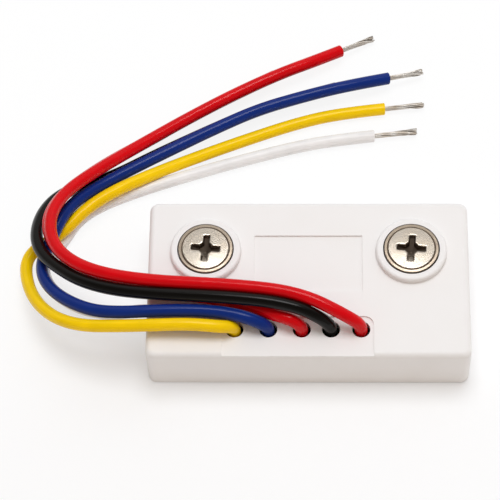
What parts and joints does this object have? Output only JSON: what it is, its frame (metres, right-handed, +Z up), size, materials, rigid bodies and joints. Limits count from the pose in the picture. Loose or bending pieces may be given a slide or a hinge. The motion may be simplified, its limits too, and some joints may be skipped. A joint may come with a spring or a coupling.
{
  "type": "addressable monitor module",
  "caption": "Flat two-part moulded housing with captive pan-head screws on round bosses, a circuit board with address switch, and looped insulated leads with stripped ends.",
  "frame": {"origin": "centre of the underside of the housing, without the free leads", "axes": "+Z up through the lid and screws, +X along the housing's long side, +Y away from the lead holes"},
  "size_m": [0.0994, 0.0887, 0.0205],
  "materials": {
    "cover_plastic": "fine satin moulding, warm white",
    "base_plastic": "fine satin moulding",
    "nickel_steel": "bright nickel plate with turning marks",
    "spring_steel": "dark spring steel",
    "brass": "turned brass",
    "board": "green solder mask",
    "zinc_steel": "zinc plate",
    "chip_black": "moulded epoxy",
    "can_aluminium": "drawn can",
    "film_box": "moulded box",
    "crystal_metal": "plated lid",
    "resistor_body": "chip",
    "ceramic_body": "chip",
    "switch_body": "moulded",
    "slider_white": "moulded",
    "solder": "tin solder",
    "insulation_yellow": "glossy soft insulation",
    "insulation_blue": "glossy soft insulation",
    "insulation_red": "glossy soft insulation",
    "insulation_black": "glossy soft insulation",
    "insulation_white": "glossy soft insulation",
    "tinned_strands": "twisted tinned strands"
  },
  "bodies": {
    "housing": {"housing_cover": "cover_plastic", "base_plate": "base_plastic", "thread_insert_left": "brass", "thread_insert_right": "brass", "circuit_board": "board", "board_screws": "zinc_steel", "microcontroller": "chip_black", "bridge_rectifier": "chip_black", "surge_suppressor": "chip_black", "voltage_regulator": "chip_black", "smoothing_capacitor": "can_aluminium", "film_capacitor": "film_box", "crystal": "crystal_metal", "resistors": "resistor_body", "ceramic_capacitors": "ceramic_body", "address_switch_body": "switch_body", "lead_solder_joints": "solder", "lead_yellow": "insulation_yellow", "lead_yellow_tail": "insulation_yellow", "lead_yellow_conductor": "tinned_strands", "lead_blue": "insulation_blue", "lead_blue_tail": "insulation_blue", "lead_blue_conductor": "tinned_strands", "lead_red_a": "insulation_red", "lead_red_a_tail": "insulation_red", "lead_red_a_conductor": "tinned_strands", "lead_black": "insulation_black", "lead_black_tail": "insulation_black", "lead_black_conductor": "tinned_strands", "lead_red_b": "insulation_red", "lead_red_b_tail": "insulation_red", "lead_red_b_conductor": "tinned_strands", "lead_white": "insulation_white", "lead_white_tail": "insulation_white", "lead_white_conductor": "tinned_strands"},
    "left_ring": {"captive_ring_left": "spring_steel"},
    "left_screw": {"cover_screw_left": "nickel_steel"},
    "right_ring": {"captive_ring_right": "spring_steel"},
    "right_screw": {"cover_screw_right": "nickel_steel"},
    "slider_1": {"address_slider_1": "slider_white"},
    "slider_2": {"address_slider_2": "slider_white"},
    "slider_3": {"address_slider_3": "slider_white"},
    "slider_4": {"address_slider_4": "slider_white"},
    "slider_5": {"address_slider_5": "slider_white"},
    "slider_6": {"address_slider_6": "slider_white"},
    "slider_7": {"address_slider_7": "slider_white"},
    "slider_8": {"address_slider_8": "slider_white"}
  },
  "joints": [
    {"name": "left_screw_rise", "type": "slide", "parent": "housing", "child": "left_ring", "axis": [0, 0, 1], "range_m": [0, 0.0037]},
    {"name": "left_screw_turn", "type": "hinge", "parent": "left_ring", "child": "left_screw", "pos_m": [-0.02245, 0.0064, 0], "axis": [0, 0, 1], "range_deg": [0, 1335]},
    {"name": "right_screw_rise", "type": "slide", "parent": "housing", "child": "right_ring", "axis": [0, 0, 1], "range_m": [0, 0.0037]},
    {"name": "right_screw_turn", "type": "hinge", "parent": "right_ring", "child": "right_screw", "pos_m": [0.02245, 0.0064, 0], "axis": [0, 0, 1], "range_deg": [0, 1335]},
    {"name": "slider_1_set", "type": "slide", "parent": "housing", "child": "slider_1", "axis": [0, 1, 0], "range_m": [0, 0.0012]},
    {"name": "slider_2_set", "type": "slide", "parent": "housing", "child": "slider_2", "axis": [0, 1, 0], "range_m": [0, 0.0012]},
    {"name": "slider_3_set", "type": "slide", "parent": "housing", "child": "slider_3", "axis": [0, 1, 0], "range_m": [0, 0.0012]},
    {"name": "slider_4_set", "type": "slide", "parent": "housing", "child": "slider_4", "axis": [0, 1, 0], "range_m": [0, 0.0012]},
    {"name": "slider_5_set", "type": "slide", "parent": "housing", "child": "slider_5", "axis": [0, 1, 0], "range_m": [0, 0.0012]},
    {"name": "slider_6_set", "type": "slide", "parent": "housing", "child": "slider_6", "axis": [0, 1, 0], "range_m": [0, 0.0012]},
    {"name": "slider_7_set", "type": "slide", "parent": "housing", "child": "slider_7", "axis": [0, 1, 0], "range_m": [0, 0.0012]},
    {"name": "slider_8_set", "type": "slide", "parent": "housing", "child": "slider_8", "axis": [0, 1, 0], "range_m": [0, 0.0012]}
  ],
  "couplings": [
    {"joint": "left_screw_turn", "follows": "left_screw_rise", "rad_per_m": 6283.2},
    {"joint": "right_screw_turn", "follows": "right_screw_rise", "rad_per_m": 6283.2}
  ]
}
